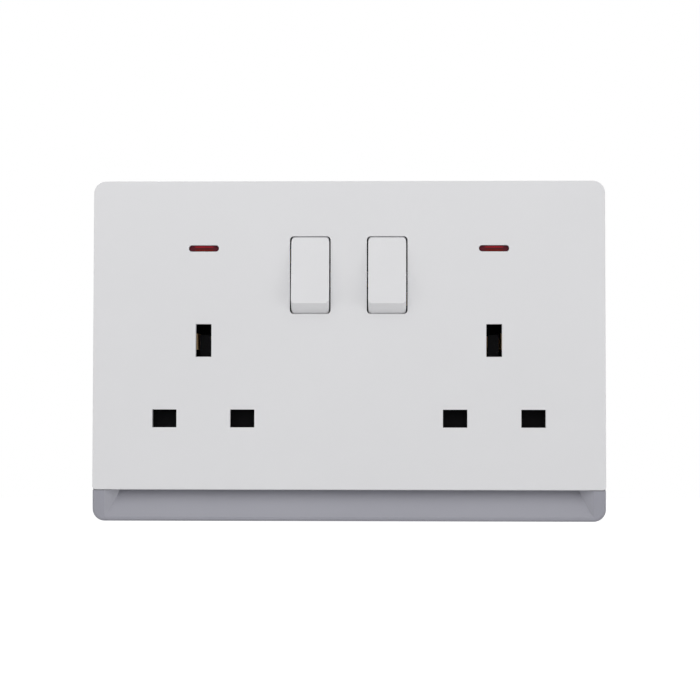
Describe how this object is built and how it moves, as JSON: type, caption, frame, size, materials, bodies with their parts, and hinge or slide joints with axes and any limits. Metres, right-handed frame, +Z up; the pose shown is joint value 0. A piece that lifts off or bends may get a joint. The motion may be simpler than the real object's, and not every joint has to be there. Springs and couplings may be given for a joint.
{
  "type": "twin switched wall socket",
  "caption": "Double flat-pin wall socket with a rocker switch and a neon indicator for each outlet, a white clip-on cover over a grey frame and a rear wiring housing.",
  "frame": {"origin": "on the wall's face, midway between the two fixing holes", "axes": "+X to the right along the longest side, +Y into the wall, +Z up; the front faces -Y"},
  "size_m": [0.146, 0.0325, 0.097],
  "materials": {
    "white_cover": "smooth moulded urea, low gloss",
    "white_rocker": "smooth moulded, low gloss",
    "grey_frame": "smooth moulded grey",
    "dark_housing": "moulded",
    "black_shutter": "moulded",
    "red_lens": "tinted clear moulding",
    "lamp_glass": "clear glass",
    "resistor_body": "lacquered",
    "brass_sheet": "rolled",
    "brass_block": "turned",
    "copper_strip": "rolled copper",
    "silver_tip": "silver",
    "spring_steel": "drawn wire",
    "plunger_steel": "turned and polished",
    "zinc_screw": "zinc plated"
  },
  "bodies": {
    "base": {"front_cover": "white_cover", "base_frame": "grey_frame", "rear_housing": "dark_housing", "housing_screws": "zinc_screw", "live_terminal": "brass_block", "neutral_terminal": "brass_block", "earth_terminal_left": "brass_block", "earth_terminal_right": "brass_block", "terminal_screws": "zinc_screw", "live_bar": "brass_sheet", "live_contact_left": "brass_sheet", "live_contact_right": "brass_sheet", "neutral_contact": "brass_sheet", "earth_jaw_left": "brass_sheet", "earth_jaw_right": "brass_sheet", "earth_bar": "brass_sheet", "fixed_tip_left": "silver_tip", "fixed_tip_right": "silver_tip", "shutter_spring_left": "spring_steel", "shutter_spring_right": "spring_steel", "neon_lens_left": "red_lens", "neon_lens_right": "red_lens", "neon_lamp_left": "lamp_glass", "neon_lamp_right": "lamp_glass", "neon_resistor_left": "resistor_body", "neon_resistor_right": "resistor_body"},
    "rocker_left": {"rocker_left": "white_rocker", "plunger_spring_left": "spring_steel"},
    "plunger_left": {"plunger_left": "plunger_steel"},
    "seesaw_left": {"moving_contact_left": "copper_strip", "moving_tip_left": "silver_tip"},
    "shutter_left": {"shutter_left": "black_shutter"},
    "rocker_right": {"rocker_right": "white_rocker", "plunger_spring_right": "spring_steel"},
    "plunger_right": {"plunger_right": "plunger_steel"},
    "seesaw_right": {"moving_contact_right": "copper_strip", "moving_tip_right": "silver_tip"},
    "shutter_right": {"shutter_right": "black_shutter"}
  },
  "joints": [
    {"name": "rocker_tilt_left", "type": "hinge", "parent": "base", "child": "rocker_left", "pos_m": [-0.01097, -0.0035, 0.02158], "axis": [1, 0, 0], "range_deg": [0, 16.7]},
    {"name": "seesaw_tip_left", "type": "hinge", "parent": "base", "child": "seesaw_left", "pos_m": [-0.01097, 0.00485, 0.02158], "axis": [1, 0, 0], "range_deg": [-12, 0]},
    {"name": "plunger_slide_left", "type": "slide", "parent": "rocker_left", "child": "plunger_left", "axis": [0, -0.9894, 0.1452], "range_m": [0, 0.0008], "stiffness_N_per_m": 600, "springref_m": -0.002, "deforming": ["plunger_spring_left"]},
    {"name": "shutter_slide_left", "type": "slide", "parent": "base", "child": "shutter_left", "axis": [0, 0, -1], "range_m": [0, 0.0062], "stiffness_N_per_m": 150, "springref_m": -0.002, "deforming": ["shutter_spring_left"]},
    {"name": "rocker_tilt_right", "type": "hinge", "parent": "base", "child": "rocker_right", "pos_m": [0.01097, -0.0035, 0.02158], "axis": [1, 0, 0], "range_deg": [0, 16.7]},
    {"name": "seesaw_tip_right", "type": "hinge", "parent": "base", "child": "seesaw_right", "pos_m": [0.01097, 0.00485, 0.02158], "axis": [1, 0, 0], "range_deg": [-12, 0]},
    {"name": "plunger_slide_right", "type": "slide", "parent": "rocker_right", "child": "plunger_right", "axis": [0, -0.9894, 0.1452], "range_m": [0, 0.0008], "stiffness_N_per_m": 600, "springref_m": -0.002, "deforming": ["plunger_spring_right"]},
    {"name": "shutter_slide_right", "type": "slide", "parent": "base", "child": "shutter_right", "axis": [0, 0, -1], "range_m": [0, 0.0062], "stiffness_N_per_m": 150, "springref_m": -0.002, "deforming": ["shutter_spring_right"]}
  ],
  "couplings": [
    {"joint": "seesaw_tip_left", "follows": "rocker_tilt_left", "ratio": -0.71856},
    {"joint": "seesaw_tip_right", "follows": "rocker_tilt_right", "ratio": -0.71856}
  ]
}
